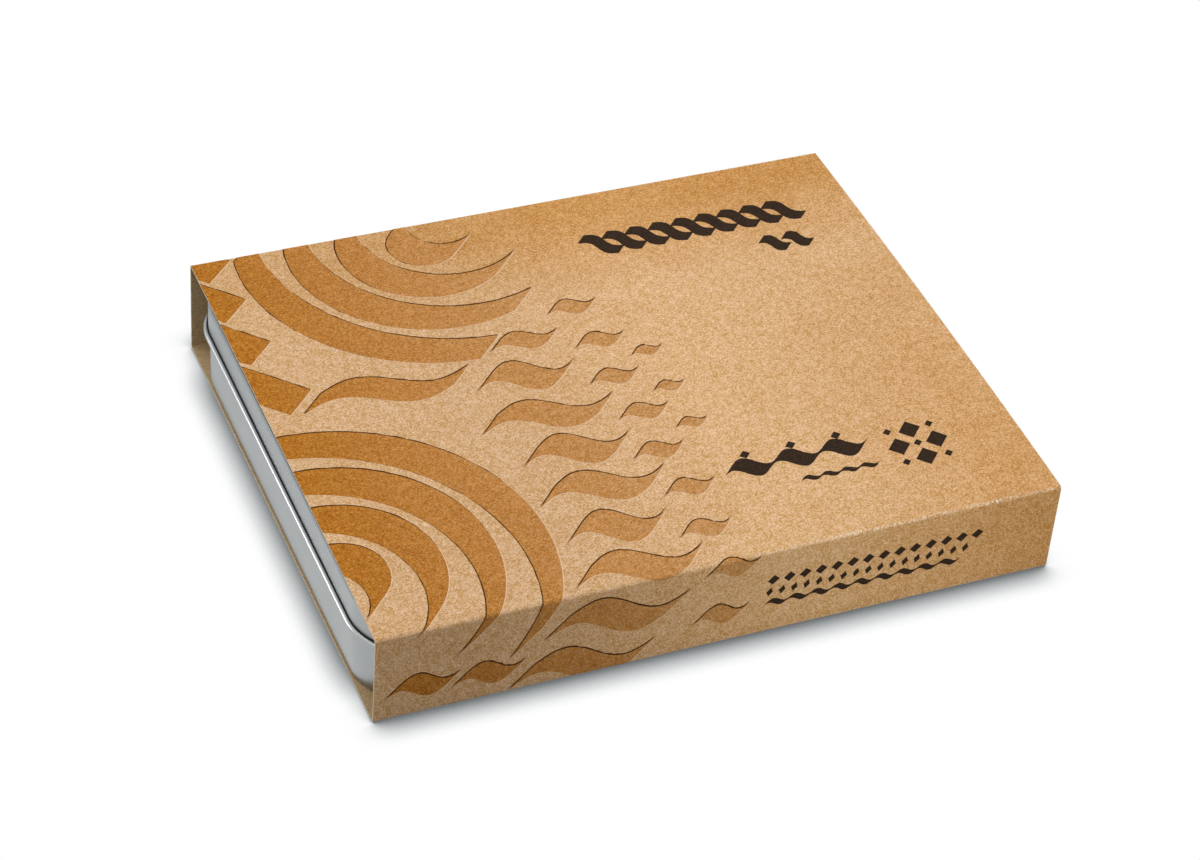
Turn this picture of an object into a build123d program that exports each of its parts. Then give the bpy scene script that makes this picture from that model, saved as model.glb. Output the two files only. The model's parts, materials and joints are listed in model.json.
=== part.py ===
"""Calligraphy set: a hinged tin in an open-ended card sleeve, with a pen, spare nibs and ink inside.

Millimetres. X runs along the sleeve, between its two open ends. Y runs from the front to the hinged
back. Z is up, and the sleeve's underside stands on Z = 0. The origin is the bottom centre.
"""
import os
from math import cos, radians, sin

from build123d import *

# Tin, measured over the base's walls
tin_length = 171.9
tin_depth = 136.6
tin_height = 23.5
tin_corner = 14.8
sheet = 0.25
base_edge = 1.0
rim_radius = 0.4

# Lid
skirt_gap = 0.22
lid_rest_gap = 0.05
lid_edge = 0.8
bead_drop = 7.7
bead_radius = 0.80

# Hinges on the back wall
hinge_spacing = 92.0
knuckle_width = 15.4
knuckle_gap = 0.3
pin_radius = 0.45
pin_gap = 0.05
pin_seat = 3.0
pin_end_gap = 0.3
leaf_height = 7.0
notch_gap = 0.4

# Card sleeve
card = 0.42
sleeve_overhang = 0.4
sleeve_side_gap = 0.56
sleeve_top_gap = 1.36
fold_radius = 1.2
left_crown = 0.6
right_crown = 1.1

# Foam
pad_thickness = 4.0
foam_thickness = 17.5
foam_gap = 0.5
pocket_gap = 0.6
finger_well = 27.0
spare_well = 17.0
front_margin = 26.0
back_margin = 18.0
side_margin = 17.5

# Leaflet
leaflet_width = 140.0
leaflet_depth = 98.0
leaflet_thickness = 0.8
leaflet_fold = 0.45

# Pen, along +X from the end of its barrel to the end of its cap
barrel_radius = 6.2
barrel_length = 45.0
barrel_end = 3.0
neck_radius = 5.4
neck_length = 9.0
ink_bore_end = 4.0
cap_radius = 6.7
cap_length = 58.0
cap_gap = 0.1
cap_end_wall = 4.5
cap_end_round = 2.0
cap_wall = 1.0
cap_lip_gap = 0.4
finial_radius = 3.6
finial_stub = 2.0
finial_stub_length = 2.4
finial_dome = 1.0
finial_gap = 0.05
thread_lead = 2.0
cap_turns = 1.25

# Nib unit: grip, feed and nib, along the unit's own axis
grip_shank_radius = 4.0
grip_shank_length = 7.0
grip_collar_radius = 4.9
grip_collar_length = 1.0
grip_radius = 4.6
grip_waist = 4.1
grip_length = 20.0
grip_lip = 1.0
nib_radius = 3.1
nib_sheet = 0.25
nib_fit = 0.08
nib_seat = 9.0
nib_reach = 17.0
nib_shoulder = 5.0
nib_half_angle = 68.0
nib_slit = 0.16
breather_radius = 0.6
feed_collar = 1.5
feed_tail_radius = 1.4
feed_reach = 11.0
feed_tip = 0.9
feed_step = 0.3
feed_slots = 5
feed_slot = 0.45
feed_slot_pitch = 0.9
feed_slot_depth = 0.8
pen_nib_width = 1.1
spare_nib_widths = (1.5, 1.9, 2.3)
spare_pitch = 22.0

# Ink cartridges
cartridge_length = 38.2
cartridge_radius = 3.65
cartridge_neck_radius = 2.6
cartridge_neck = 4.6
cartridge_round = 0.8
cartridge_count = 6
cartridge_pitch = 7.6

# Heights and half sizes that follow from the driving dimensions
tin_floor = card
lid_top = tin_floor + tin_height
base_top = lid_top - sheet - lid_rest_gap
skirt_reach = skirt_gap + sheet
lid_length = tin_length + 2 * skirt_reach
lid_depth = tin_depth + 2 * skirt_reach
lid_corner = tin_corner + skirt_reach
bead_z = lid_top - bead_drop
bead_offset = skirt_gap + bead_radius
bead_depth = tin_depth + 2 * (bead_offset + bead_radius)
hinge_y = tin_depth / 2 + bead_offset
pin_bore = pin_radius + pin_gap
knuckle_stations = (-hinge_spacing / 2, hinge_spacing / 2)

sleeve_length = tin_length + 2 * sleeve_overhang
sleeve_depth = bead_depth + 2 * (sleeve_side_gap + card)
sleeve_height = lid_top + sleeve_top_gap + card

pad_bottom = tin_floor + sheet
foam_bottom = pad_bottom + pad_thickness
foam_top = foam_bottom + foam_thickness
foam_length = tin_length - 2 * (sheet + foam_gap)
foam_depth = tin_depth - 2 * (sheet + foam_gap)
foam_corner = tin_corner - sheet - foam_gap

cap_bore = cap_radius - cap_wall
cap_start = barrel_length + cap_lip_gap
cap_travel = cap_turns * thread_lead
pen_length = cap_start + cap_length + finial_dome
pen_x = -pen_length / 2
pen_y = front_margin + pocket_gap + cap_radius - foam_depth / 2
pen_z = foam_bottom + cap_radius + cap_gap
grip_start = barrel_length + neck_length - grip_shank_length
grip_bore = nib_radius + nib_fit
grip_total = grip_shank_length + grip_collar_length + grip_length + grip_lip
feed_seat = grip_total - nib_seat - feed_collar
unit_length = grip_total + nib_reach
row_y = foam_depth / 2 - back_margin - pocket_gap - unit_length / 2
spare_x = foam_length / 2 - side_margin - pocket_gap - grip_collar_radius
spare_z = foam_bottom + grip_collar_radius
cartridge_x = side_margin + pocket_gap + cartridge_radius - foam_length / 2
cartridge_z = foam_bottom + cartridge_radius

UP = Vector(0, 0, 1)


def side_plane(origin, direction):
    """The plane of a turned piece's profile: x along its axis, y is the radius, pointing up."""
    return Plane(origin, x_dir=direction, z_dir=direction.cross(UP))


def plan_plane(origin, direction):
    """The level plane through a turned piece's axis, with x along the axis."""
    return Plane(origin, x_dir=direction, z_dir=UP)


def section_plane(origin, direction, station):
    """The plane across a turned piece's axis, at this distance along it, with y up."""
    return Plane(origin + direction * station, x_dir=UP.cross(direction), z_dir=direction)


def turning_outline(origin, direction, points):
    """A turned piece's profile, from its (distance, radius) points."""
    with BuildSketch(side_plane(origin, direction)) as outline:
        with BuildLine():
            Polyline(*points, close=True)
        make_face()
    return outline.sketch


def finish(part, name):
    """Label the finished piece and write it to its own file."""
    part.label = name
    export_step(part, f"parts/{name}.step")


def end_profile(x, inset, crown):
    """The sleeve's closed outline at one end, drawn this far inside its outer face."""
    half = sleeve_depth / 2 - inset
    radius = fold_radius - inset
    flat = half - radius
    bottom = inset
    top = sleeve_height - inset
    diagonal = radius * (1 - cos(radians(45)))
    with BuildSketch(Plane.YZ.offset(x)) as profile:
        with BuildLine():
            Line((-flat, bottom), (flat, bottom))
            ThreePointArc((flat, bottom), (half - diagonal, bottom + diagonal), (half, bottom + radius))
            Line((half, bottom + radius), (half, top - radius))
            ThreePointArc((half, top - radius), (half - diagonal, top - diagonal), (flat, top))
            ThreePointArc((flat, top), (0, top + crown), (-flat, top))
            ThreePointArc((-flat, top), (-half + diagonal, top - diagonal), (-half, top - radius))
            Line((-half, top - radius), (-half, bottom + radius))
            ThreePointArc((-half, bottom + radius), (-half + diagonal, bottom + diagonal), (-flat, bottom))
        make_face()
    return profile.sketch.face()


def bead_ring(length, depth, corner, height, radius):
    """A round bead whose centre line is a rounded rectangle at this height."""
    half_length = length / 2
    half_depth = depth / 2
    corners = (
        (half_length, half_depth),
        (-half_length, half_depth),
        (-half_length, -half_depth),
        (half_length, -half_depth),
    )
    with BuildPart() as ring:
        with BuildLine(Plane.XY.offset(height)) as centre_line:
            FilletPolyline(*corners, radius=corner, close=True)
        path = Wire(centre_line.line.edges())
        with BuildSketch(Plane(path @ 0, z_dir=path % 0)):
            Circle(radius)
        sweep(path=path)
    return ring.part


def make_sleeve():
    """One card folded into a tube, open at both ends, its top panel crowned more at the right."""
    ends = ((-sleeve_length / 2, left_crown), (sleeve_length / 2, right_crown))
    with BuildPart() as sleeve:
        loft([end_profile(x, 0, crown) for x, crown in ends], ruled=True)
        loft([end_profile(x, card, crown) for x, crown in ends], ruled=True, mode=Mode.SUBTRACT)
    finish(sleeve.part, "sleeve")


def make_tin_base():
    """The tray: a drawn shell with an inward rolled rim and two hinge leaves with knuckles."""
    leaf_bottom = bead_z - leaf_height
    wall_face = tin_depth / 2
    with BuildPart() as tin_base:
        with BuildSketch(Plane.XY.offset(tin_floor)):
            RectangleRounded(tin_length, tin_depth, tin_corner)
        extrude(amount=base_top - rim_radius - tin_floor)
        fillet(tin_base.faces().sort_by(Axis.Z)[0].edges(), base_edge)
        offset(amount=-sheet, openings=tin_base.faces().sort_by(Axis.Z)[-1])
        add(bead_ring(
            tin_length - 2 * rim_radius,
            tin_depth - 2 * rim_radius,
            tin_corner - rim_radius,
            base_top - rim_radius,
            rim_radius,
        ))
        for x in knuckle_stations:
            with BuildSketch(Plane.YZ.offset(x - knuckle_width / 2)):
                with Locations((wall_face, leaf_bottom)):
                    Rectangle(sheet, leaf_height, align=(Align.MIN, Align.MIN))
                with Locations((wall_face, bead_z - bead_radius)):
                    Rectangle(hinge_y - wall_face, bead_radius - pin_bore, align=(Align.MIN, Align.MIN))
                with Locations((hinge_y, bead_z)):
                    Circle(bead_radius)
                    Circle(pin_bore, mode=Mode.SUBTRACT)
            extrude(amount=knuckle_width)
    finish(tin_base.part, "tin_base")


def make_tin_lid():
    """The lid: a drawn shell whose lower edge is rolled outwards, notched for the base's knuckles."""
    notch_width = knuckle_width + 2 * knuckle_gap
    notch_top = bead_z + bead_radius + notch_gap
    bore_length = notch_width + 2 * (pin_seat + pin_end_gap)
    with BuildPart() as tin_lid:
        with BuildSketch(Plane.XY.offset(bead_z)):
            RectangleRounded(lid_length, lid_depth, lid_corner)
        extrude(amount=lid_top - bead_z)
        fillet(tin_lid.faces().sort_by(Axis.Z)[-1].edges(), lid_edge)
        offset(amount=-sheet, openings=tin_lid.faces().sort_by(Axis.Z)[0])
        add(bead_ring(
            tin_length + 2 * bead_offset,
            tin_depth + 2 * bead_offset,
            tin_corner + bead_offset,
            bead_z,
            bead_radius,
        ))
        for x in knuckle_stations:
            with Locations((x, tin_depth / 2, notch_top)):
                Box(
                    notch_width,
                    2 * (bead_offset + bead_radius) + skirt_gap,
                    2 * (notch_top - bead_z),
                    align=(Align.CENTER, Align.CENTER, Align.MAX),
                    mode=Mode.SUBTRACT,
                )
            with BuildSketch(Plane.YZ.offset(x - bore_length / 2)):
                with Locations((hinge_y, bead_z)):
                    Circle(pin_bore)
            extrude(amount=bore_length, mode=Mode.SUBTRACT)
    finish(tin_lid.part, "tin_lid")


def make_hinge_pins():
    """A straight wire pin in each knuckle, with its ends in the lid's bead."""
    pin_length = knuckle_width + 2 * (knuckle_gap + pin_seat)
    for x, side in zip(knuckle_stations, ("left", "right")):
        with BuildPart() as hinge_pin:
            with BuildSketch(Plane.YZ.offset(x - pin_length / 2)):
                with Locations((hinge_y, bead_z)):
                    Circle(pin_radius)
            extrude(amount=pin_length)
        finish(hinge_pin.part, f"hinge_pin_{side}")


def make_foam():
    """The backing pad, and the insert with its cut-through pockets and finger wells."""
    with BuildPart() as foam_pad:
        with BuildSketch(Plane.XY.offset(pad_bottom)):
            RectangleRounded(foam_length, foam_depth, foam_corner)
        extrude(amount=pad_thickness)
        fillet(foam_pad.faces().sort_by(Axis.Z)[0].edges(), base_edge)
    finish(foam_pad.part, "foam_pad")

    pen_pocket = pen_length + cap_travel + 2 * pocket_gap
    pen_pocket_x = pen_x - pocket_gap + pen_pocket / 2
    spare_pocket = unit_length + 2 * pocket_gap
    ink_width = (cartridge_count - 1) * cartridge_pitch + 2 * (cartridge_radius + pocket_gap)
    ink_x = cartridge_x + (cartridge_count - 1) * cartridge_pitch / 2
    with BuildPart() as foam_insert:
        with BuildSketch(Plane.XY.offset(foam_bottom)):
            RectangleRounded(foam_length, foam_depth, foam_corner)
            with Locations((pen_pocket_x, pen_y)):
                Rectangle(pen_pocket, 2 * (cap_radius + pocket_gap), mode=Mode.SUBTRACT)
            with Locations((pen_x + cap_start, pen_y)):
                Circle(finger_well / 2, mode=Mode.SUBTRACT)
            with Locations((ink_x, row_y)):
                Rectangle(ink_width, cartridge_length + 2 * pocket_gap, mode=Mode.SUBTRACT)
            for i in range(len(spare_nib_widths)):
                with Locations((spare_x - i * spare_pitch, row_y)):
                    Rectangle(2 * (grip_collar_radius + pocket_gap), spare_pocket, mode=Mode.SUBTRACT)
                    Circle(spare_well / 2, mode=Mode.SUBTRACT)
        extrude(amount=foam_thickness)
    finish(foam_insert.part, "foam_insert")


def make_leaflet():
    """A folded leaflet, with its rounded fold at the front."""
    with BuildPart() as leaflet:
        with Locations((0, 0, foam_top)):
            Box(
                leaflet_width,
                leaflet_depth,
                leaflet_thickness,
                align=(Align.CENTER, Align.CENTER, Align.MIN),
            )
        fold = leaflet.edges().filter_by(Axis.X).group_by(Axis.Y)[0]
        fillet(fold, leaflet_thickness * leaflet_fold)
    finish(leaflet.part, "leaflet")


def make_grip(origin, direction, name):
    """The nib unit's holder: a shank that goes into the barrel, a collar and a waisted grip."""
    collar = grip_shank_length
    grip = collar + grip_collar_length
    lip = grip + grip_length
    neck_bore = cartridge_neck_radius + nib_fit
    outline = turning_outline(origin, direction, (
        (0, neck_bore),
        (0, grip_shank_radius),
        (collar, grip_shank_radius),
        (collar, grip_collar_radius),
        (grip, grip_collar_radius),
        (grip, grip_radius),
        (lip, grip_waist),
        (lip, grip_radius),
        (lip + grip_lip, grip_radius),
        (lip + grip_lip, grip_bore),
        (feed_seat, grip_bore),
        (feed_seat, neck_bore),
    ))
    with BuildPart() as holder:
        revolve(outline, axis=Axis(origin, direction))
    finish(holder.part, name)


def make_feed(origin, direction, name):
    """The feed under the nib: a tail to the ink, a collar, a plug and a tongue with comb slots."""
    mouth = grip_total
    radius = nib_radius - nib_sheet - nib_fit
    outline = turning_outline(origin, direction, (
        (cartridge_neck, 0),
        (cartridge_neck, feed_tail_radius),
        (feed_seat, feed_tail_radius),
        (feed_seat, grip_bore - nib_fit),
        (feed_seat + feed_collar, grip_bore - nib_fit),
        (feed_seat + feed_collar, radius),
        (mouth + feed_reach, radius),
        (mouth + feed_reach, 0),
    ))
    with BuildPart() as feed:
        revolve(outline, axis=Axis(origin, direction))
        with BuildSketch(side_plane(origin, direction)):
            with BuildLine():
                Polyline(
                    (mouth, -2 * radius),
                    (mouth, feed_step - radius),
                    (mouth + feed_reach, radius - feed_tip),
                    (mouth + feed_reach, -2 * radius),
                    close=True,
                )
            make_face()
        extrude(amount=2 * radius, both=True, mode=Mode.SUBTRACT)
        rise = (2 * radius - feed_tip - feed_step) / feed_reach
        for i in range(feed_slots):
            station = (i + 1) * feed_slot_pitch
            underside = feed_step - radius + station * rise
            with BuildSketch(side_plane(origin, direction)):
                with Locations((mouth + station, underside)):
                    Rectangle(feed_slot, 2 * feed_slot_depth)
            extrude(amount=2 * radius, both=True, mode=Mode.SUBTRACT)
    finish(feed.part, name)


def make_nib(origin, direction, tip_width, name):
    """A broad-edged nib: a curved sheet with shoulders, a square tip, a slit and a breather hole."""
    mouth = grip_total
    root = mouth - nib_seat
    tip = mouth + nib_reach
    shoulder = mouth + nib_shoulder
    half_width = nib_radius * sin(radians(nib_half_angle))
    floor = nib_radius * cos(radians(nib_half_angle))
    with BuildPart() as nib:
        with BuildSketch(section_plane(origin, direction, root)):
            Circle(nib_radius)
            Circle(nib_radius - nib_sheet, mode=Mode.SUBTRACT)
            with Locations((0, floor)):
                Rectangle(2 * nib_radius, nib_radius, align=(Align.CENTER, Align.MIN), mode=Mode.INTERSECT)
        extrude(amount=tip - root)
        with BuildSketch(plan_plane(origin, direction)):
            with BuildLine():
                Polyline(
                    (root, -half_width),
                    (shoulder, -half_width),
                    (tip, -tip_width / 2),
                    (tip, tip_width / 2),
                    (shoulder, half_width),
                    (root, half_width),
                    close=True,
                )
            make_face()
            with Locations((shoulder, 0)):
                Circle(breather_radius, mode=Mode.SUBTRACT)
                Rectangle(
                    tip - shoulder,
                    nib_slit,
                    align=(Align.MIN, Align.CENTER),
                    mode=Mode.SUBTRACT,
                )
        extrude(amount=nib_radius, mode=Mode.INTERSECT)
    finish(nib.part, name)


def make_nib_unit(origin, direction, tip_width, names):
    """One grip with its feed and nib."""
    grip_name, feed_name, nib_name = names
    make_grip(origin, direction, grip_name)
    make_feed(origin, direction, feed_name)
    make_nib(origin, direction, tip_width, nib_name)


def make_cartridge(origin, direction, name):
    """A short ink cartridge: a round body, a shoulder and a narrow neck."""
    body = cartridge_length - cartridge_neck
    outline = turning_outline(origin, direction, (
        (0, 0),
        (0, cartridge_radius),
        (body, cartridge_radius),
        (body, cartridge_neck_radius),
        (cartridge_length, cartridge_neck_radius),
        (cartridge_length, 0),
    ))
    with BuildPart() as cartridge:
        revolve(outline, axis=Axis(origin, direction))
        rims = cartridge.edges().filter_by(GeomType.CIRCLE)
        ends = [rim for rim in rims if abs(rim.radius - cartridge_radius) < cartridge_round / 10]
        fillet(ends, cartridge_round)
    finish(cartridge.part, name)


def make_pen():
    """The pen as it lies in the foam, its cap screwed on."""
    origin = Vector(pen_x, pen_y, pen_z)
    along = Vector(1, 0, 0)
    neck_end = barrel_length + neck_length
    shank_bore = grip_shank_radius + nib_fit
    with BuildPart() as barrel:
        with BuildSketch(side_plane(origin, along)):
            with BuildLine():
                Line((0, 0), (0, barrel_radius - barrel_end))
                RadiusArc((0, barrel_radius - barrel_end), (barrel_end, barrel_radius), barrel_end)
                Polyline(
                    (barrel_end, barrel_radius),
                    (barrel_length, barrel_radius),
                    (barrel_length, neck_radius),
                    (neck_end, neck_radius),
                    (neck_end, shank_bore),
                    (ink_bore_end, shank_bore),
                    (ink_bore_end, 0),
                    (0, 0),
                )
            make_face()
        revolve(axis=Axis(origin, along))
    finish(barrel.part, "pen_barrel")

    make_nib_unit(origin + along * grip_start, along, pen_nib_width, ("pen_grip", "pen_feed", "pen_nib"))
    make_cartridge(
        origin + along * (grip_start - cartridge_length + cartridge_neck),
        along,
        "pen_cartridge",
    )

    cap_end = cap_start + cap_length
    bore_end = cap_end - cap_end_wall
    stub_bore = finial_stub + finial_gap
    dome_radius = (finial_radius ** 2 + finial_dome ** 2) / (2 * finial_dome)
    with BuildPart() as cap:
        with BuildSketch(side_plane(origin, along)):
            with BuildLine():
                Polyline(
                    (cap_end, cap_radius - cap_end_round),
                    (cap_end, stub_bore),
                    (bore_end, stub_bore),
                    (bore_end, cap_bore),
                    (cap_start, cap_bore),
                    (cap_start, cap_radius),
                    (cap_end - cap_end_round, cap_radius),
                )
                RadiusArc(
                    (cap_end - cap_end_round, cap_radius),
                    (cap_end, cap_radius - cap_end_round),
                    cap_end_round,
                )
            make_face()
        revolve(axis=Axis(origin, along))
    finish(cap.part, "pen_cap")

    with BuildPart() as finial:
        with BuildSketch(side_plane(origin, along)):
            with BuildLine():
                Polyline(
                    (cap_end + finial_dome, 0),
                    (cap_end - finial_stub_length, 0),
                    (cap_end - finial_stub_length, finial_stub),
                    (cap_end, finial_stub),
                    (cap_end, finial_radius),
                )
                RadiusArc((cap_end, finial_radius), (cap_end + finial_dome, 0), dome_radius)
            make_face()
        revolve(axis=Axis(origin, along))
    finish(finial.part, "cap_finial")


def make_spares():
    """Three spare nib units and a row of ink cartridges, in the pockets behind the pen."""
    away = Vector(0, 1, 0)
    for i, tip_width in enumerate(spare_nib_widths):
        origin = Vector(spare_x - i * spare_pitch, row_y - unit_length / 2, spare_z)
        names = (f"spare_grip_{i + 1}", f"spare_feed_{i + 1}", f"spare_nib_{i + 1}")
        make_nib_unit(origin, away, tip_width, names)
    for i in range(cartridge_count):
        origin = Vector(cartridge_x + i * cartridge_pitch, row_y - cartridge_length / 2, cartridge_z)
        make_cartridge(origin, away, f"ink_cartridge_{i + 1}")


os.makedirs("parts", exist_ok=True)
make_sleeve()
make_tin_base()
make_tin_lid()
make_hinge_pins()
make_foam()
make_leaflet()
make_pen()
make_spares()
print(f"sleeve {sleeve_length:.2f} x {sleeve_depth:.2f} x {sleeve_height:.2f}")
print(f"tin over its bead {tin_length + 2 * (bead_offset + bead_radius):.2f} x {bead_depth:.2f}")
print(f"pen axis at Y {pen_y:.2f}, Z {pen_z:.2f}, cap lip at X {pen_x + cap_start:.2f}")
print(f"hinge axis at Y {hinge_y:.2f}, Z {bead_z:.2f}, cap travel {cap_travel:.3f}")
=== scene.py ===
"""Looks of the calligraphy set: a hinged tin in a printed card sleeve, with its pen and ink in foam.

Metres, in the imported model's frame: X runs along the sleeve between its two open ends, Y from the front
to the hinged back, and Z is up. The sleeve and its print are laid out on the flat card first: u runs
from the left open end, and v from the fold between the front and top panels, up over the top.
"""
import json
import math

import bmesh
import bpy
from bpy.props import FloatProperty, FloatVectorProperty, IntProperty, PointerProperty
from mathutils import Matrix, Vector, noise


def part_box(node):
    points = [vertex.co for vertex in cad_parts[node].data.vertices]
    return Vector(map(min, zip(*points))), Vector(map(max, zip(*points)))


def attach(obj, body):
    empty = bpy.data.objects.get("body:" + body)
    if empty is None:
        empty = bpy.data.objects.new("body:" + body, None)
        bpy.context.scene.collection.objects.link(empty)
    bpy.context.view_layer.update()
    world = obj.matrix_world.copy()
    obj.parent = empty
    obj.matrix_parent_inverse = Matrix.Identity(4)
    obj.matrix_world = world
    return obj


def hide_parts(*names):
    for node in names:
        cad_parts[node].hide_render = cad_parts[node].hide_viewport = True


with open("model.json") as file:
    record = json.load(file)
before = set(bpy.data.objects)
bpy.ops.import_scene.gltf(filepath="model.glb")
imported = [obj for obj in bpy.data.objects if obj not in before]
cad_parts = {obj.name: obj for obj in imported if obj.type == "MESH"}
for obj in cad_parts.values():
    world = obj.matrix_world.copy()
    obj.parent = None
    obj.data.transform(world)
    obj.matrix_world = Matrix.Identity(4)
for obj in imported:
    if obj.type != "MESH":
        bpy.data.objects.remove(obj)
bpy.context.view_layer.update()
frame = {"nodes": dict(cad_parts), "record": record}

bl_info = {
    "name": "Calligraphy Set Box",
    "version": (1, 0, 0),
    "blender": (4, 5, 0),
    "location": "View3D > Sidebar > Calligraphy Set",
    "description": "Builds a hinged tin in a printed card sleeve around its packed model",
    "category": "Add Mesh",
}

mm = 0.001
quarter = math.pi / 2

sleeve_low, sleeve_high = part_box("sleeve")
base_low, base_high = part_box("tin_base")
lid_low, lid_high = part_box("tin_lid")


def colour(name, red, green, blue, about):
    """A colour setting, in linear light."""
    return FloatVectorProperty(
        name=name, description=about, subtype="COLOR", size=3, min=0.0, max=1.0, default=(red, green, blue)
    )


def length(name, value, about):
    """A length setting."""
    return FloatProperty(name=name, description=about, default=value, min=0.0, precision=5, unit="LENGTH")


class SleeveSettings(bpy.types.PropertyGroup):
    """The card sleeve's sizes and colours."""

    card: length("Card", 0.42 * mm, "Thickness of the card")
    fold_radius: length("Fold radius", 0.9 * mm, "Outer radius of the four folds")
    top_gap: length("Top gap", 1.36 * mm, "Air between the lid and the top panel at its folds")
    back_rise: length("Back rise", 0.8 * mm, "How far the sleeve stands higher at its back left corner")
    left_crown: length("Left crown", 0.55 * mm, "How far the top panel rises at the left end")
    right_crown: length("Right crown", 1.0 * mm, "How far the top panel rises at the right end")
    kraft: colour("Kraft", 0.91, 0.61, 0.385, "The pale pulp of the card's printed side")
    kraft_shade: colour("Kraft shade", 0.60, 0.31, 0.075, "The dark pulp between it")
    # Painted shade: the golden tint darkens the card towards its back and front right.
    painted_back_right_shade: colour("Golden tint", 0.82, 0.645, 0.32, "How the card tans towards its back and front right")
    # Painted shade: the left tint darkens the card towards its left end.
    left_painted_shade: colour("Left tint", 0.87, 0.885, 0.92, "How the card darkens towards its left end")
    lining: colour("Lining", 0.52, 0.37, 0.20, "Inner side of the card")
    cut_edge: colour("Cut edge", 0.92, 0.76, 0.58, "The card's cut edges")
    worn: colour("Worn fold", 0.98, 0.90, 0.79, "The card's core, where its folds are rubbed")


class PrintSettings(bpy.types.PropertyGroup):
    """The inks, and how thick they lie on the card."""

    ink_rise: length("Ink rise", 0.05 * mm, "How far the ink stands on the card")
    line_width: length("Line width", 0.30 * mm, "Width of the dark line along a brown stroke's upper edges")
    pale_width: length("Pale width", 0.18 * mm, "Width of the pale line along its lower edges")
    brown: colour("Brown ink", 0.46, 0.245, 0.025, "Tint of the brown ink over the kraft, where it lies thick")
    brown_thin: colour("Thin brown ink", 0.73, 0.49, 0.13, "Its tint where it lies thin")
    outline: colour("Outline ink", 0.065, 0.021, 0.003, "The dark line along a stroke's upper edges")
    pale: colour("Pale ink", 0.84, 0.60, 0.39, "The faint pale line along a stroke's lower edges")
    black: colour("Black ink", 0.024, 0.014, 0.009, "The black print")


class TinSettings(bpy.types.PropertyGroup):
    """The tin's sizes and finish."""

    sheet: length("Sheet", 0.25 * mm, "Thickness of the tinplate")
    skirt_gap: length("Skirt gap", 0.22 * mm, "Air between the lid's wall and the base's")
    corner: length("Corner", 14.8 * mm, "Radius of the base's upright corners")
    base_edge: length("Base edge", 0.6 * mm, "Radius round the bottom")
    shoulder_drop: length("Shoulder drop", 0.5 * mm, "How far the lid's shoulder falls to its wall")
    shoulder_width: length("Shoulder width", 1.5 * mm, "How far the shoulder reaches in from the wall")
    rim_radius: length("Rim", 0.4 * mm, "Radius of the base's rolled rim")
    bead_radius: length("Bead", 0.8 * mm, "Radius of the lid's rolled bead")
    bead_tuck: length("Bead tuck", 0.2 * mm, "How far the bead's centre lies inside the pins'")
    knuckle_radius: length("Knuckle", 0.8 * mm, "Radius of the rolled hinge knuckles")
    corner_steps: IntProperty(name="Corner steps", description="Facets in a corner", default=16, min=4)
    metal: colour("Metal", 0.365, 0.385, 0.385, "The tinplate")
    # Painted sheen: the bead's metal colour is a little brighter than the plate's.
    polished: colour("Polished metal", 0.38, 0.39, 0.39, "The tinplate where it is rolled round the bead")
    # Painted shade: the crease above the bead is painted dark, over the reach below.
    painted_crease_shade: colour("Groove", 0.02, 0.021, 0.022, "The crease above the bead")
    crease_shade_reach: length("Groove reach", 0.46 * mm, "How far the crease's darkness spreads")


class PackingSettings(bpy.types.PropertyGroup):
    """The colours of what the tin holds."""

    foam: colour("Foam", 0.022, 0.022, 0.023, "Die-cut foam")
    paper: colour("Paper", 0.82, 0.80, 0.75, "The leaflet")
    plastic: colour("Pen plastic", 0.012, 0.012, 0.013, "The pen's barrel, cap and grips")
    feed: colour("Feed plastic", 0.02, 0.02, 0.021, "The feeds")
    steel: colour("Nib steel", 0.62, 0.62, 0.60, "The nibs")
    finial: colour("Finial", 0.66, 0.65, 0.62, "The disc in the cap's end")
    ink: colour("Cartridge", 0.01, 0.02, 0.09, "The ink cartridges")
    foam_edge: length("Foam edge", 0.5 * mm, "Softness of the foam's edges")


class StageSettings(bpy.types.PropertyGroup):
    """The camera, the floor and the light."""

    lens: FloatProperty(name="Lens", description="Focal length on a 36 mm sensor", default=103.55)
    key_power: FloatProperty(name="Key light", description="Power of the lamp overhead, in watts", default=4.5)
    rim_power: FloatProperty(name="Rim light", description="Power of the lamp behind, in watts", default=1.6)
    side_power: FloatProperty(name="Side light", description="Power of the lamp at the left, in watts", default=0.45)
    fill_power: FloatProperty(name="Fill light", description="Power of the lamp in front, in watts", default=0.015)
    sky: FloatProperty(name="Sky", description="Strength of the light from all round", default=0.35)
    bounce: FloatProperty(name="Floor bounce", description="How much light the floor throws up", default=0.38)
    shadow_reach: length("Shadow reach", 9.0 * mm, "How far the contact shadow spreads on the floor")
    shadow: colour("Shadow", 0.92, 0.98, 1.0, "Tint of the contact shadow")


# Shared modelling


def link_piece(bm, name, body, materials, replaces=(), sharp=35.0):
    """Make a named piece of the finished mesh, smooth except at its sharp edges, riding on its body."""
    limit = math.radians(sharp)
    for face in bm.faces:
        face.smooth = True
    for edge in bm.edges:
        edge.smooth = edge.calc_face_angle(math.pi) < limit
    mesh = bpy.data.meshes.new(name)
    bm.to_mesh(mesh)
    bm.free()
    for material in materials:
        mesh.materials.append(material)
    piece = bpy.data.objects.new(name, mesh)
    bpy.context.scene.collection.objects.link(piece)
    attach(piece, body)
    if replaces:
        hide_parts(*replaces)
    return piece


def apply_modifiers(piece):
    """Keep the piece's shape with its modifiers, and take them off."""
    depsgraph = bpy.context.evaluated_depsgraph_get()
    shaped = bpy.data.meshes.new_from_object(piece.evaluated_get(depsgraph))
    piece.modifiers.clear()
    piece.data = shaped


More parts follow.
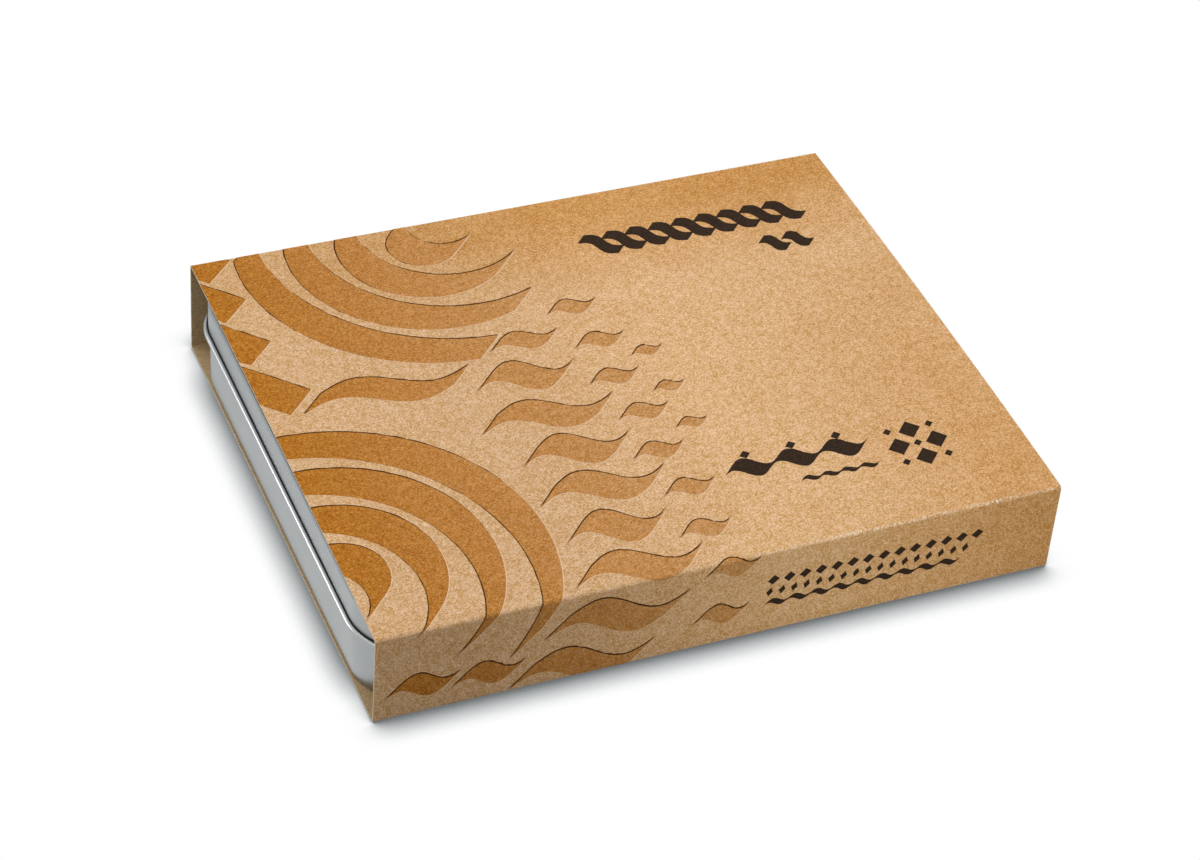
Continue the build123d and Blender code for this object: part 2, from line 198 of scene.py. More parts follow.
def cut_away(piece, cutter_mesh):
    """Take the cutter's shape out of the piece."""
    mesh = bpy.data.meshes.new("cutter")
    cutter_mesh.to_mesh(mesh)
    cutter_mesh.free()
    cutter = bpy.data.objects.new("cutter", mesh)
    bpy.context.scene.collection.objects.link(cutter)
    cut = piece.modifiers.new("Cut", "BOOLEAN")
    cut.object = cutter
    cut.operation = "DIFFERENCE"
    cut.solver = "EXACT"
    bpy.context.view_layer.update()
    apply_modifiers(piece)
    bpy.data.objects.remove(cutter)


def arc_points(centre, radius, start, end, steps):
    """Points round a centre, both ends included. The angles are in degrees."""
    points = []
    for i in range(steps + 1):
        angle = math.radians(start + (end - start) * i / steps)
        points.append((centre[0] + radius * math.cos(angle), centre[1] + radius * math.sin(angle)))
    return points


def drawn_shell(half_length, half_depth, corner, steps, profile):
    """A closed shell: one rounded outline dragged along the profile, a list of (distance out, height)."""
    bm = bmesh.new()
    outward = bm.verts.layers.float_vector.new("outward")
    corners = bmesh.ops.create_grid(bm, x_segments=1, y_segments=1, size=1.0)["verts"]
    bmesh.ops.scale(bm, vec=(half_length, half_depth, 1.0), verts=corners)
    rounded = bmesh.ops.bevel(
        bm,
        geom=corners,
        offset=corner,
        offset_type="OFFSET",
        segments=steps,
        profile=0.5,
        affect="VERTICES",
        material=-1,
    )
    loop = list(rounded["verts"][0].link_faces[0].edges)
    out, height = profile[0]
    for vert in bm.verts:
        centre_x = math.copysign(half_length - corner, vert.co.x)
        centre_y = math.copysign(half_depth - corner, vert.co.y)
        vert[outward] = (vert.co - Vector((centre_x, centre_y, 0.0))) / corner
        vert.co += vert[outward] * out + Vector((0.0, 0.0, height))
    for next_out, next_height in profile[1:]:
        made = bmesh.ops.extrude_edge_only(bm, edges=loop)["geom"]
        verts = {item for item in made if isinstance(item, bmesh.types.BMVert)}
        loop = [item for item in made if isinstance(item, bmesh.types.BMEdge) and verts.issuperset(item.verts)]
        for vert in verts:
            vert.co += vert[outward] * (next_out - out) + Vector((0.0, 0.0, next_height - height))
        out, height = next_out, next_height
    bmesh.ops.edgeloop_fill(bm, edges=loop)
    bm.verts.layers.float_vector.remove(outward)
    bmesh.ops.recalc_face_normals(bm, faces=bm.faces[:])
    return bm


def drag_edge(bm, edge, moves):
    """Drag an edge by these moves, one after another, and leave a strip of faces behind it."""
    for move in moves:
        made = bmesh.ops.extrude_edge_only(bm, edges=[edge])["geom"]
        verts = [item for item in made if isinstance(item, bmesh.types.BMVert)]
        bmesh.ops.translate(bm, vec=move, verts=verts)
        edge = next(
            item for item in made
            if isinstance(item, bmesh.types.BMEdge) and set(item.verts) == set(verts)
        )


def rolled_strip(bm, left, right, path, thickness):
    """A strip of sheet across X that follows a path of (y, z) points."""
    y, z = path[0]
    edge = bm.edges.new((bm.verts.new((left, y, z)), bm.verts.new((right, y, z))))
    moves = [(0.0, b[0] - a[0], b[1] - a[1]) for a, b in zip(path, path[1:])]
    before = set(bm.faces)
    drag_edge(bm, edge, moves)
    strip = [face for face in bm.faces if face not in before]
    bmesh.ops.recalc_face_normals(bm, faces=strip)
    bmesh.ops.solidify(bm, geom=strip, thickness=thickness)


def merged_copy(node):
    """A CAD node's mesh with its loose triangles merged."""
    bm = bmesh.new()
    bm.from_mesh(frame["nodes"][node].data)
    bmesh.ops.remove_doubles(bm, verts=bm.verts[:], dist=0.001 * mm)
    for layer in list(bm.loops.layers.uv.values()):
        bm.loops.layers.uv.remove(layer)
    return bm


# Shared material nodes


class Surface:
    """A material under construction. Its textures lie on the piece's own coordinates, in metres."""

    def __init__(self, name, base_colour, roughness, metallic=0.0, specular=0.5):
        self.material = bpy.data.materials.new(name)
        self.material.use_nodes = True
        self.tree = self.material.node_tree
        self.shader = self.tree.nodes["Principled BSDF"]
        self.object_place = self.add("ShaderNodeTexCoord").outputs["Object"]
        self.set("Base Color", base_colour)
        self.set("Roughness", roughness)
        self.set("Metallic", metallic)
        self.set("Specular IOR Level", specular)

    def add(self, kind):
        """A new node of this kind."""
        return self.tree.nodes.new(kind)

    def feed(self, socket, value):
        """Put a number, a colour or another node's output into a socket."""
        if isinstance(value, bpy.types.NodeSocket):
            self.tree.links.new(value, socket)
        elif socket.type == "RGBA":
            socket.default_value = (*value[:3], 1.0)
        else:
            socket.default_value = value

    def set(self, name, value):
        """Set one of the shader's inputs."""
        self.feed(self.shader.inputs[name], value)

    def noise(self, size, detail=3.0, rough=0.6, stretch=(1.0, 1.0, 1.0), turn=0.0, warp=0.0):
        """Soft noise with blotches of about this size. A stretched one is turned on all axes, in degrees,

        and warp bends it.
        """
        mapping = self.add("ShaderNodeMapping")
        mapping.vector_type = "TEXTURE"
        self.feed(mapping.inputs["Vector"], self.object_place)
        mapping.inputs["Rotation"].default_value = (math.radians(turn),) * 3
        mapping.inputs["Scale"].default_value = tuple(size * amount for amount in stretch)
        texture = self.add("ShaderNodeTexNoise")
        self.feed(texture.inputs["Vector"], mapping.outputs["Vector"])
        texture.inputs["Scale"].default_value = 1.0
        texture.inputs["Detail"].default_value = detail
        texture.inputs["Roughness"].default_value = rough
        texture.inputs["Distortion"].default_value = warp
        return texture.outputs["Fac"]

    def spread(self, value, low, high, to_low=0.0, to_high=1.0):
        """Bring a value's useful range to 0 and 1, or to these ends."""
        node = self.add("ShaderNodeMapRange")
        self.feed(node.inputs["Value"], value)
        for name, number in zip(("From Min", "From Max", "To Min", "To Max"), (low, high, to_low, to_high)):
            self.feed(node.inputs[name], number)
        return node.outputs["Result"]

    def maths(self, operation, a, b):
        """One sum of two values."""
        node = self.add("ShaderNodeMath")
        node.operation = operation
        self.feed(node.inputs[0], a)
        self.feed(node.inputs[1], b)
        return node.outputs["Value"]

    def blend(self, amount, a, b, kind="MIX"):
        """Blend two colours."""
        node = self.add("ShaderNodeMix")
        node.data_type = "RGBA"
        node.blend_type = kind
        sockets = [socket for socket in node.inputs if socket.type == "RGBA"]
        self.feed(node.inputs["Factor"], amount)
        self.feed(sockets[0], a)
        self.feed(sockets[1], b)
        return next(socket for socket in node.outputs if socket.type == "RGBA")

    def attribute(self, name):
        """A value that is kept on the mesh."""
        node = self.add("ShaderNodeAttribute")
        node.attribute_name = name
        return node.outputs["Fac"]

    def along(self, axis):
        """The distance along one of the piece's axes."""
        node = self.add("ShaderNodeSeparateXYZ")
        self.feed(node.inputs["Vector"], self.object_place)
        return node.outputs[axis]

    def relief(self, height, depth, strength=1.0):
        """Raise the surface by a height texture, this deep."""
        node = self.add("ShaderNodeBump")
        node.inputs["Strength"].default_value = strength
        node.inputs["Distance"].default_value = depth
        self.feed(node.inputs["Height"], height)
        self.set("Normal", node.outputs["Normal"])


# The card and its print


class FlatCard:
    """The flat card and how it folds into the sleeve."""

    def __init__(self, settings):
        self.length = sleeve_high.x - sleeve_low.x
        self.depth = sleeve_high.y - sleeve_low.y
        self.height = lid_high.z + settings.top_gap + settings.card
        self.radius = settings.fold_radius
        self.left_crown = settings.left_crown
        self.right_crown = settings.right_crown
        self.back_rise = settings.back_rise
        self.start = -self.height - self.depth
        self.end = self.depth + self.height
        half = self.depth / 2
        back, out, up = Vector((0, 1, 0)), Vector((0, -1, 0)), Vector((0, 0, 1))
        self.panels = (
            (self.start, self.depth, Vector((0, half, 0)), out, -up),
            (-self.height, self.height, Vector((0, -half, 0)), up, out),
            (0.0, self.depth, Vector((0, -half, self.height)), back, up),
            (self.depth, self.height, Vector((0, half, self.height)), -up, back),
        )

    def crown(self, x, y):
        """How far the top panel stands above its folds."""
        share = x / self.length + 0.5
        rise = self.left_crown + (self.right_crown - self.left_crown) * share
        reach = self.depth / 2 - self.radius
        return rise * max(0.0, 1.0 - (y / reach) ** 2)

    def folded(self, flat):
        """Where a point of the flat card goes when the card is folded. Its z is its height off the card."""
        panel = next(p for p in reversed(self.panels) if flat.y >= p[0] or p is self.panels[0])
        start, width, corner, along, outward = panel
        travel = flat.y - start
        reach = self.radius + flat.z
        if travel < self.radius:
            angle = quarter / 2 * (1 + travel / self.radius)
            centre = corner + (along - outward) * self.radius
            place = centre + (outward * math.sin(angle) - along * math.cos(angle)) * reach
        elif travel > width - self.radius:
            angle = quarter / 2 * (1 + (travel - width) / self.radius)
            centre = corner + along * (width - self.radius) - outward * self.radius
            place = centre + (outward * math.cos(angle) + along * math.sin(angle)) * reach
        else:
            place = corner + along * travel + outward * flat.z
        place.x = flat.x - self.length / 2
        if outward.z > 0 and self.radius <= travel <= width - self.radius:
            place.z += self.crown(place.x, place.y)
        to_left = 0.5 - place.x / self.length
        to_back = 0.5 + place.y / self.depth
        place.z *= 1 + self.back_rise / self.height * to_left * to_back
        return place

    def cut_lines(self):
        """Where the flat card needs edges to bend: close across each fold, and wider on the panels."""
        across = []
        for start, width, *_ in self.panels:
            bends = [self.radius * (step / 3 - 1) for step in range(7)]
            across += [start + bend for bend in bends]
            count = max(2, round(width / (6 * mm)))
            flat_width = width - 2 * self.radius
            across += [start + self.radius + flat_width * i / count for i in range(1, count)]
        count = round(self.length / (5 * mm))
        upright = [self.length * i / count for i in range(1, count)]
        return upright, [v for v in across if self.start < v < self.end]

    def fold(self, bm):
        """Cut a flat mesh along the card's lines and fold it."""
        upright, across = self.cut_lines()
        cuts = [(Vector((u, 0, 0)), Vector((1, 0, 0))) for u in upright]
        cuts += [(Vector((0, v, 0)), Vector((0, 1, 0))) for v in across]
        for place, direction in cuts:
            geometry = bm.verts[:] + bm.edges[:] + bm.faces[:]
            bmesh.ops.bisect_plane(bm, geom=geometry, dist=1e-7, plane_co=place, plane_no=direction)
        for vert in bm.verts:
            vert.co = self.folded(vert.co)


def kraft_pulp(surface, light, dark, painted_shades=None):
    """Kraft's colour: pulp, curled fibres, warm flecks, slow changes of tone and dark specks.

    The two optional colours are painted shade: the card painted darker and more golden towards its back and front
    right, and darker towards its left end.
    """
    grain = surface.noise(0.45 * mm, detail=2.0, rough=0.75)
    fibres = surface.noise(0.38 * mm, detail=1.0, stretch=(4.0, 0.8, 0.8), turn=20, warp=0.7)
    crossing = surface.noise(0.38 * mm, detail=1.0, stretch=(4.0, 0.8, 0.8), turn=-50, warp=0.7)
    mottle = surface.maths("MULTIPLY", surface.noise(1.8 * mm, detail=2.0), 0.6)
    texture = surface.maths("ADD", surface.maths("ADD", grain, fibres), crossing)
    texture = surface.maths("ADD", texture, mottle)
    pulp = surface.blend(surface.spread(texture, 1.56, 2.04), dark, light)
    flecks = surface.spread(surface.noise(0.7 * mm, detail=2.0), 0.54, 0.70, 0.0, 0.6)
    pulp = surface.blend(flecks, pulp, (0.93, 0.80, 0.60), kind="MULTIPLY")
    clouds = surface.noise(16 * mm, detail=3.0)
    pulp = surface.blend(surface.spread(clouds, 0.38, 0.68), pulp, (0.96, 0.93, 0.88), kind="MULTIPLY")
    if painted_shades:
        painted_back_right_shade, left_painted_shade = painted_shades
        # Painted shade: darker and more golden towards the back and towards the front right.
        along = surface.along("X")
        across = surface.along("Y")
        to_right = surface.spread(along, 0.030, 0.080)
        to_right = surface.maths("MULTIPLY", to_right, surface.spread(across, 0.030, -0.045, 0.12, 0.66))
        to_back = surface.spread(across, 0.030, 0.062)
        to_back = surface.maths("MULTIPLY", to_back, surface.spread(along, -0.075, -0.020, 0.15, 1.0))
        back_right_shading = surface.maths("MAXIMUM", to_right, to_back)
        back_right_shading = surface.maths("MULTIPLY", back_right_shading, surface.spread(clouds, 0.25, 0.55, 0.75, 1.0))
        pulp = surface.blend(back_right_shading, pulp, painted_back_right_shade, kind="MULTIPLY")
        # Painted shade: darker towards the left end.
        to_left = surface.spread(along, 0.015, -0.030)
        pulp = surface.blend(to_left, pulp, left_painted_shade, kind="MULTIPLY")
    pale = [min(1.0, part * 1.22) for part in light]
    deep = [part * 0.55 for part in dark]
    for turn, tint in ((35, deep), (-25, pale), (80, pale)):
        strand = surface.noise(0.26 * mm, detail=0.0, stretch=(8.0, 0.8, 0.8), turn=turn, warp=0.5)
        pulp = surface.blend(surface.spread(strand, 0.68, 0.76, 0.0, 0.6), pulp, tint)
    specks = surface.spread(surface.noise(0.6 * mm, detail=1.0), 0.71, 0.77, 0.0, 0.65)
    pulp = surface.blend(specks, pulp, [part * 0.36 for part in dark])
    surface.relief(texture, 0.03 * mm, strength=0.5)
    return pulp


def kraft_material(settings):
    """The sleeve's outer side, rubbed to its white core along its folds, most of all at the right."""
    surface = Surface("kraft_card", settings.kraft, 0.85, specular=0.25)
    # The card's painted shades: at its back and front right, and at its left end.
    painted_shades = (settings.painted_back_right_shade, settings.left_painted_shade)
    pulp = kraft_pulp(surface, settings.kraft, settings.kraft_shade, painted_shades)
    chips = surface.spread(surface.noise(0.5 * mm, detail=2.0), 0.50, 0.58)
    patches = surface.spread(surface.noise(9 * mm, detail=2.0), 0.35, 0.6, 0.3, 1.0)
    to_right = surface.spread(surface.along("X"), -0.01, 0.07, 0.10, 1.0)
    wear = surface.maths("MULTIPLY", surface.attribute("wear"), chips)
    wear = surface.maths("MULTIPLY", wear, surface.maths("MULTIPLY", patches, to_right))
    surface.set("Base Color", surface.blend(wear, pulp, settings.worn))
    return surface.material


def lining_material(settings):
    """The sleeve's plain inner side."""
    surface = Surface("kraft_lining", settings.lining, 0.9, specular=0.2)
    dark = [part * 0.72 for part in settings.lining]
    surface.set("Base Color", kraft_pulp(surface, settings.lining, dark))
    return surface.material


def cut_edge_material(settings):
    """The paler core that shows where the card is cut."""
    surface = Surface("kraft_cut_edge", settings.cut_edge, 0.9, specular=0.2)
    layers = surface.spread(surface.noise(0.25 * mm, detail=2.0), 0.35, 0.65)
    dark = [part * 0.7 for part in settings.cut_edge]
    surface.set("Base Color", surface.blend(layers, dark, settings.cut_edge))
    surface.relief(layers, 0.02 * mm)
    return surface.material


def brown_ink_material(sleeve, inks, card):
    """Brown ink that lets the kraft through, thinner towards the right."""
    surface = Surface("brown_ink", inks.brown, 0.85, specular=0.1)
    pulp = kraft_pulp(surface, sleeve.kraft, sleeve.kraft_shade)
    strength = surface.spread(surface.along("X"), -card.length / 2, -0.006, 1.0, 0.60)
    patches = surface.spread(surface.noise(0.7 * mm, detail=3.0, rough=0.7, warp=0.5), 0.36, 0.64)
    tint = surface.blend(patches, inks.brown, inks.brown_thin)
    surface.set("Base Color", surface.blend(strength, pulp, tint, kind="MULTIPLY"))
    return surface.material


def thin_ink_material(name, ink, cover):
    """Ink that the card's fibres show through. Cover is how much of the card it hides."""
    surface = Surface(name, ink, 0.85, specular=0.1)
    fibres = surface.spread(surface.noise(0.45 * mm, detail=3.0), 0.42, 0.75, 0.0, 1.0 - cover)
    surface.set("Base Color", surface.blend(fibres, ink, (0.50, 0.27, 0.09)))
    surface.relief(fibres, 0.02 * mm, strength=0.5)
    return surface.material


def make_sleeve(settings):
    """Fold one flat card into the tube, and mark its folds, lining and cut ends."""
    card = FlatCard(settings)
    bm = bmesh.new()
    size = Matrix.Diagonal((card.length, card.end - card.start, settings.card, 1.0))
    centre = Vector((card.length / 2, (card.start + card.end) / 2, -settings.card / 2))
    bmesh.ops.create_cube(bm, size=1.0, matrix=Matrix.Translation(centre) @ size)
    for face in bm.faces:
        face.material_index = 1 if face.normal.z < -0.5 else 2 if abs(face.normal.x) > 0.5 else 0
    seam = [face for face in bm.faces if abs(face.normal.y) > 0.5]
    bmesh.ops.delete(bm, geom=seam, context="FACES_ONLY")
    wear = bm.verts.layers.float.new("wear")
    card.fold(bm)
    half = Vector((0.0, card.depth / 2, card.height / 2))
    for vert in bm.verts:
        past_y = abs(vert.co.y) - half.y + card.radius
        past_z = abs(vert.co.z - half.z) - half.z + card.radius
        nearness = min(past_y, past_z) / card.radius
        vert[wear] = min(1.0, max(0.0, 2.6 * nearness - 0.25))
    bmesh.ops.remove_doubles(bm, verts=bm.verts[:], dist=0.001 * mm)
    materials = (kraft_material(settings), lining_material(settings), cut_edge_material(settings))
    link_piece(bm, "card_sleeve", "sleeve", materials, replaces=["sleeve"])


nib_angle = math.radians(45)


def bar(u, v, run, turn):
    """A straight stroke's path, this long, in millimetres."""
    steps = max(1, round(run / 1.5))
    angle = math.radians(turn)
    reach = [run * i / steps for i in range(steps + 1)]
    return [(u + part * math.cos(angle), v + part * math.sin(angle)) for part in reach]


def ripple(u, v, run, rise, turn=0.0, count=1):
    """A stroke's path that rises and falls, once or more often."""
    steps = 24
    heading = Matrix.Rotation(math.radians(turn), 2)
    path = []
    for i in range(steps * count + 1):
        place = heading @ Vector((run * i / steps, rise * math.sin(2 * math.pi * i / steps)))
        path.append((u + place.x, v + place.y))
    return path


def bow(u, v, radius, start, end):
    """A stroke's path round a centre."""
    return arc_points((u, v), radius, start, end, max(12, round(radius)))


def brown_strokes():
    """Arches, bowls, bars and waves over the sleeve's left part: each stroke's path and its nib."""
    broad, middle, small = 10.5, 8.5, 5.2
    strokes = []
    for radius, start, end in ((11, 110, -44), (24, 110, -44), (37, 110, -43), (50, 100, -36)):
        strokes.append((bow(-4, 18, radius, start, end), broad))
    for radius, start, end in ((9, 136, 314), (22, 137, 312), (35, 150, 292), (48, 172, 268)):
        strokes.append((bow(62, 137, radius, start, end), broad))
    for v, run in ((166, 24), (149, 17), (132, 16), (115, 17), (98, 22)):
        strokes.append((bar(-6, v, run, -45), broad))
    for u, v, run in ((12, 81, 38), (54, 76, 22), (50, 61, 30), (55, 47, 24), (54, 33, 28), (55, 19, 22)):
        strokes.append((ripple(u, v, run, 3.2), middle))
    for u, v, run in ((52, 5, 28), (44, -9, 30), (36, -22, 30)):
        strokes.append((ripple(u, v, run, 3.2), middle))
    for i in range(9):
        strokes.append((ripple(80 + 2 * (i % 2), 98 - 14.3 * i, 11, 1.35), small))
    for i in range(3):
        strokes.append((ripple(93.5, 76.4 - 14.3 * i, 7, 0.8), 3.4))
    for u, v, run in ((62, 89, 15), (5, -17, 14), (21, -18, 14)):
        strokes.append((ripple(u, v, run, 1.6), 6.0))
    return strokes


def black_strokes():
    """A twisted border near the back, a wave and a rosette near the front, and three rows of marks."""
    strokes = []
    for i in range(9):
        strokes.append((ripple(98 + 6.4 * i, 123.5, 11, 1.1, turn=-38), 4.0))
    for i in range(2):
        strokes.append((ripple(142.6 + 6.4 * i, 109.8, 7.5, 0.8, turn=-38), 3.8))
    strokes.append((ripple(98, 28.5, 12, 1.75, count=3), 5.0))
    for i in range(3):
        strokes.append((bar(103.6 + 12 * i, 33.6, 1.8, -40), 2.2))
    strokes.append((ripple(114, 20.8, 5, 0.5, count=4), 1.6))
    for u, v in ((0, 5), (5, 0), (0, -5), (-5, 0)):
        strokes.append((bar(145 + u, 26 + v, 3.9, -45), 4.6))
    for u, v in ((5.6, 5.6), (5.6, -5.6), (-5.6, -5.6), (-5.6, 5.6), (0, 0)):
        strokes.append((bar(145.8 + u, 25.2 + v, 1.5, -45), 1.8))
    for i in range(14):
        strokes.append((bar(97.5 + 4.1 * i, -8.5, 1.9, -40), 2.3))
    for i in range(17):
        strokes.append((bar(97.3 + 3.2 * i, -12.1, 1.5, -70), 1.7))
    strokes.append((ripple(97, -16.3, 5.6, 0.6, count=9), 1.7))
    return strokes


def print_strokes(name, strokes, height, card, material, shift=(0.0, 0.0), reach=0.0, rough=0.0):
    """Drag a nib along each stroke's path on the flat card, raise its mark and fold it with the card.

    Shift moves the marks, reach lengthens the nib at its upper end, and rough makes that edge uneven.
    """
    sunk = -0.03 * mm
    slant = Vector((math.cos(nib_angle), math.sin(nib_angle), 0.0))
    bm = bmesh.new()
    for path, nib in strokes:
        places = []
        for u, v in path:
            place = Vector((u * mm + shift[0], v * mm + shift[1], sunk))
            places.append(place + slant * rough * noise.noise(Vector((u, v, 0.0))))
        lower_end = bm.verts.new(places[0] - slant * nib * mm / 2)
        upper_end = bm.verts.new(places[0] + slant * (nib * mm / 2 + reach))
        edge = bm.edges.new((lower_end, upper_end))
        drag_edge(bm, edge, [b - a for a, b in zip(places, places[1:])])
    fold_end = card.radius * 0.55
    limits = (
        (Vector((0, 0, 0)), Vector((-1, 0, 0))),
        (Vector((card.length, 0, 0)), Vector((1, 0, 0))),
        (Vector((0, -card.height - fold_end, 0)), Vector((0, -1, 0))),
        (Vector((0, card.end - card.radius + fold_end, 0)), Vector((0, 1, 0))),
    )
    for place, outward in limits:
        geometry = bm.verts[:] + bm.edges[:] + bm.faces[:]
        bmesh.ops.bisect_plane(
            bm, geom=geometry, dist=1e-7, plane_co=place, plane_no=outward, clear_outer=True
        )
    raised = bmesh.ops.extrude_face_region(bm, geom=bm.faces[:])["geom"]
    verts = [item for item in raised if isinstance(item, bmesh.types.BMVert)]
    bmesh.ops.translate(bm, vec=(0.0, 0.0, height - sunk), verts=verts)
    bmesh.ops.recalc_face_normals(bm, faces=bm.faces[:])
    card.fold(bm)
    link_piece(bm, name, "sleeve", [material])


def make_brown_print(sleeve, inks):
    """Each brown stroke, between a dark line along its upper edges and a pale one along its lower edges."""
    card = FlatCard(sleeve)
    strokes = brown_strokes()
    line = inks.line_width
    margin = inks.pale_width
    pale = thin_ink_material("pale_ink", inks.pale, 0.7)
    outline = thin_ink_material("outline_ink", inks.outline, 0.92)
    brown = brown_ink_material(sleeve, inks, card)
    low, middle, high = inks.ink_rise / 3, inks.ink_rise * 2 / 3, inks.ink_rise
    print_strokes("stroke_lights", strokes, low, card, pale, shift=(margin, -margin))
    print_strokes(
        "stroke_outlines", strokes, middle, card, outline, shift=(-0.8 * line, 0.8 * line), reach=line, rough=line
    )
    print_strokes("brown_strokes", strokes, high, card, brown)


def make_black_print(sleeve, inks):
    """The black ornaments."""
    card = FlatCard(sleeve)
    black = thin_ink_material("black_ink", inks.black, 0.92)
    print_strokes("black_ornaments", black_strokes(), inks.ink_rise, card, black, rough=0.12 * mm)


# The tin


def tinplate_material(settings):
    """Satin tinplate: a fine rolled grain, faint smears, a bead painted a little brighter as painted sheen, and
    painted shade in the crease above it.

    The plate is painted darker towards the hinges, as painted shade.
    """
    surface = Surface("tinplate", settings.metal, 0.36, metallic=1.0)
    grain = surface.noise(0.5 * mm, detail=3.0, stretch=(14.0, 14.0, 0.25))
    smears = surface.noise(14 * mm, detail=3.0)
    polish_and_sheen = surface.attribute("polish_and_sheen")
    roughness = surface.spread(smears, 0.3, 0.7, 0.33, 0.39)
    surface.set("Roughness", surface.maths("MULTIPLY", roughness, surface.spread(polish_and_sheen, 0.0, 1.0, 1.0, 0.85)))
    tone = surface.blend(surface.spread(grain, 0.35, 0.65), (0.94, 0.94, 0.94), (1.0, 1.0, 1.0))
    # Painted sheen: the bead's colour is painted a little brighter; its lower roughness is real.
    metal = surface.blend(polish_and_sheen, settings.metal, settings.polished)
    metal = surface.blend(1.0, metal, tone, kind="MULTIPLY")
    # Painted shade: the plate is painted darker towards the back, on the hinge side.
    back_shading = surface.spread(surface.along("Y"), -0.050, 0.068)
    metal = surface.blend(back_shading, metal, (0.84, 0.85, 0.86), kind="MULTIPLY")
    # Painted shade: the crease above the bead is painted dark.
    surface.set("Base Color", surface.blend(surface.attribute("painted_crease_shade"), metal, settings.painted_crease_shade))
    surface.relief(grain, 0.004 * mm, strength=0.4)
    return surface.material


def make_tin_base(settings):
    """The tray with its rolled rim, and the two hinge leaves with their rolled knuckles."""
    half_length = base_high.x
    half_depth = -base_low.y
    sheet = settings.sheet
    edge = settings.base_edge
    rim = settings.rim_radius
    rim_height = base_high.z - rim
    floor = base_low.z
    corner_centre = (-edge, floor + edge)
    rim_end = math.degrees(math.acos(1 - sheet / rim))
    profile = arc_points(corner_centre, edge, -90, 0, 6)
    profile += arc_points((-rim, rim_height), rim, 0, 360 - rim_end, 12)
    profile += arc_points(corner_centre, edge - sheet, 0, -90, 6)
    shell = drawn_shell(half_length, half_depth, settings.corner, settings.corner_steps, profile)
    material = tinplate_material(settings)
    tray = link_piece(shell, "tin_tray", "tin", [material], replaces=["tin_base"])
    # The tray's crease-shade and sheen values stay at zero: no painted shade or sheen on it.
    for name in ("painted_crease_shade", "polish_and_sheen"):
        tray.data.attributes.new(name, "FLOAT", "POINT")

    pin_low, pin_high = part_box("hinge_pin_left")
    pin_centre = (pin_low + pin_high) / 2
    knuckle = settings.knuckle_radius - sheet / 2
    wall = half_depth + sheet / 2
    leaf_drop = 7.0 * mm
    bend = knuckle * 0.45
    path = [(wall, pin_centre.z - leaf_drop)]
    path += arc_points((wall + bend, pin_centre.z - knuckle - bend), bend, 180, 90, 4)
    path += arc_points((pin_centre.y, pin_centre.z), knuckle, -90, 235, 20)
    for name, pin in (("left", "hinge_pin_left"), ("right", "hinge_pin_right")):
        low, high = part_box(pin)
        middle = (low.x + high.x) / 2
        reach = 7.7 * mm
        bm = bmesh.new()
        rolled_strip(bm, middle - reach, middle + reach, path, sheet)
        link_piece(bm, f"hinge_leaf_{name}", "tin", [material], replaces=["tin_base"])


def make_tin_lid(settings):
    """The lid with its rolled bead, cut away for the knuckles and bored for the pins."""
    pin_low, pin_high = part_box("hinge_pin_left")
    pin_centre = (pin_low + pin_high) / 2
    bead = settings.bead_radius
    bead_z = pin_centre.z
    bead_out = pin_centre.y + base_low.y - settings.bead_tuck
    outer = settings.skirt_gap + settings.sheet
    top = lid_high.z
    crease = math.degrees(math.acos((outer - bead_out) / bead))
    crease_height = bead_z + bead * math.sin(math.radians(crease))
    shoulder = []
    for inward, fall in ((1.0, 0.0), (0.6, 0.16), (0.27, 0.55), (0.0, 1.0)):
        shoulder.append((outer - settings.shoulder_width * inward, top - settings.shoulder_drop * fall))
    profile = list(shoulder)
    for rise in (0.9 * mm, 0.35 * mm):
        profile.append((outer, crease_height + rise))
    profile += arc_points((bead_out, bead_z), bead, crease, -180, 22)
    profile += [(out - settings.sheet, height - settings.sheet) for out, height in reversed(shoulder)]
    bm = drawn_shell(base_high.x, -base_low.y, settings.corner, settings.corner_steps, profile)
    # Painted shade: darkness painted round the crease above the bead, fading over the reach.
    painted_crease_shade = bm.verts.layers.float.new("painted_crease_shade")
    polish_and_sheen = bm.verts.layers.float.new("polish_and_sheen")
    for vert in bm.verts:
        # The bead below the crease is smoother, and painted a little brighter as painted sheen.
        vert[polish_and_sheen] = 1.0 if vert.co.z < crease_height + 0.1 * mm else 0.0
        past_x = max(0.0, abs(vert.co.x) - base_high.x + settings.corner)
        past_y = max(0.0, abs(vert.co.y) + base_low.y + settings.corner)
        out = math.hypot(past_x, past_y) - settings.corner
        from_crease = math.hypot(out - outer, vert.co.z - crease_height)
        vert[painted_crease_shade] = min(1.0, max(0.0, 1.5 * (1.0 - from_crease / settings.crease_shade_reach)))
    material = tinplate_material(settings)
    lid = link_piece(bm, "tin_lid_shell", "lid", [material], replaces=["tin_lid"])

    notch_half = 8.0 * mm
    notch_top = bead_z + settings.knuckle_radius + 0.4 * mm
    cutter = bmesh.new()
    for pin in ("hinge_pin_left", "hinge_pin_right"):
        low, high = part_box(pin)
        middle = (low.x + high.x) / 2
        height = notch_top - bead_z + 2 * bead
        size = Matrix.Diagonal((2 * notch_half, 4 * bead, height, 1.0))
        place = Matrix.Translation((middle, pin_centre.y, notch_top - height / 2))
        bmesh.ops.create_cube(cutter, size=1.0, matrix=place @ size)
    cut_away(lid, cutter)
    bores = bmesh.new()
    for pin in ("hinge_pin_left", "hinge_pin_right"):
        low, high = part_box(pin)
        radius = (high.z - low.z) / 2 + 0.05 * mm
        place = Matrix.Translation((low + high) / 2) @ Matrix.Rotation(quarter, 4, "Y")
        bmesh.ops.create_cone(
            bores,
            cap_ends=True,
            segments=24,
            radius1=radius,
            radius2=radius,
            depth=high.x - low.x + 0.6 * mm,
            matrix=place,
        )
    cut_away(lid, bores)


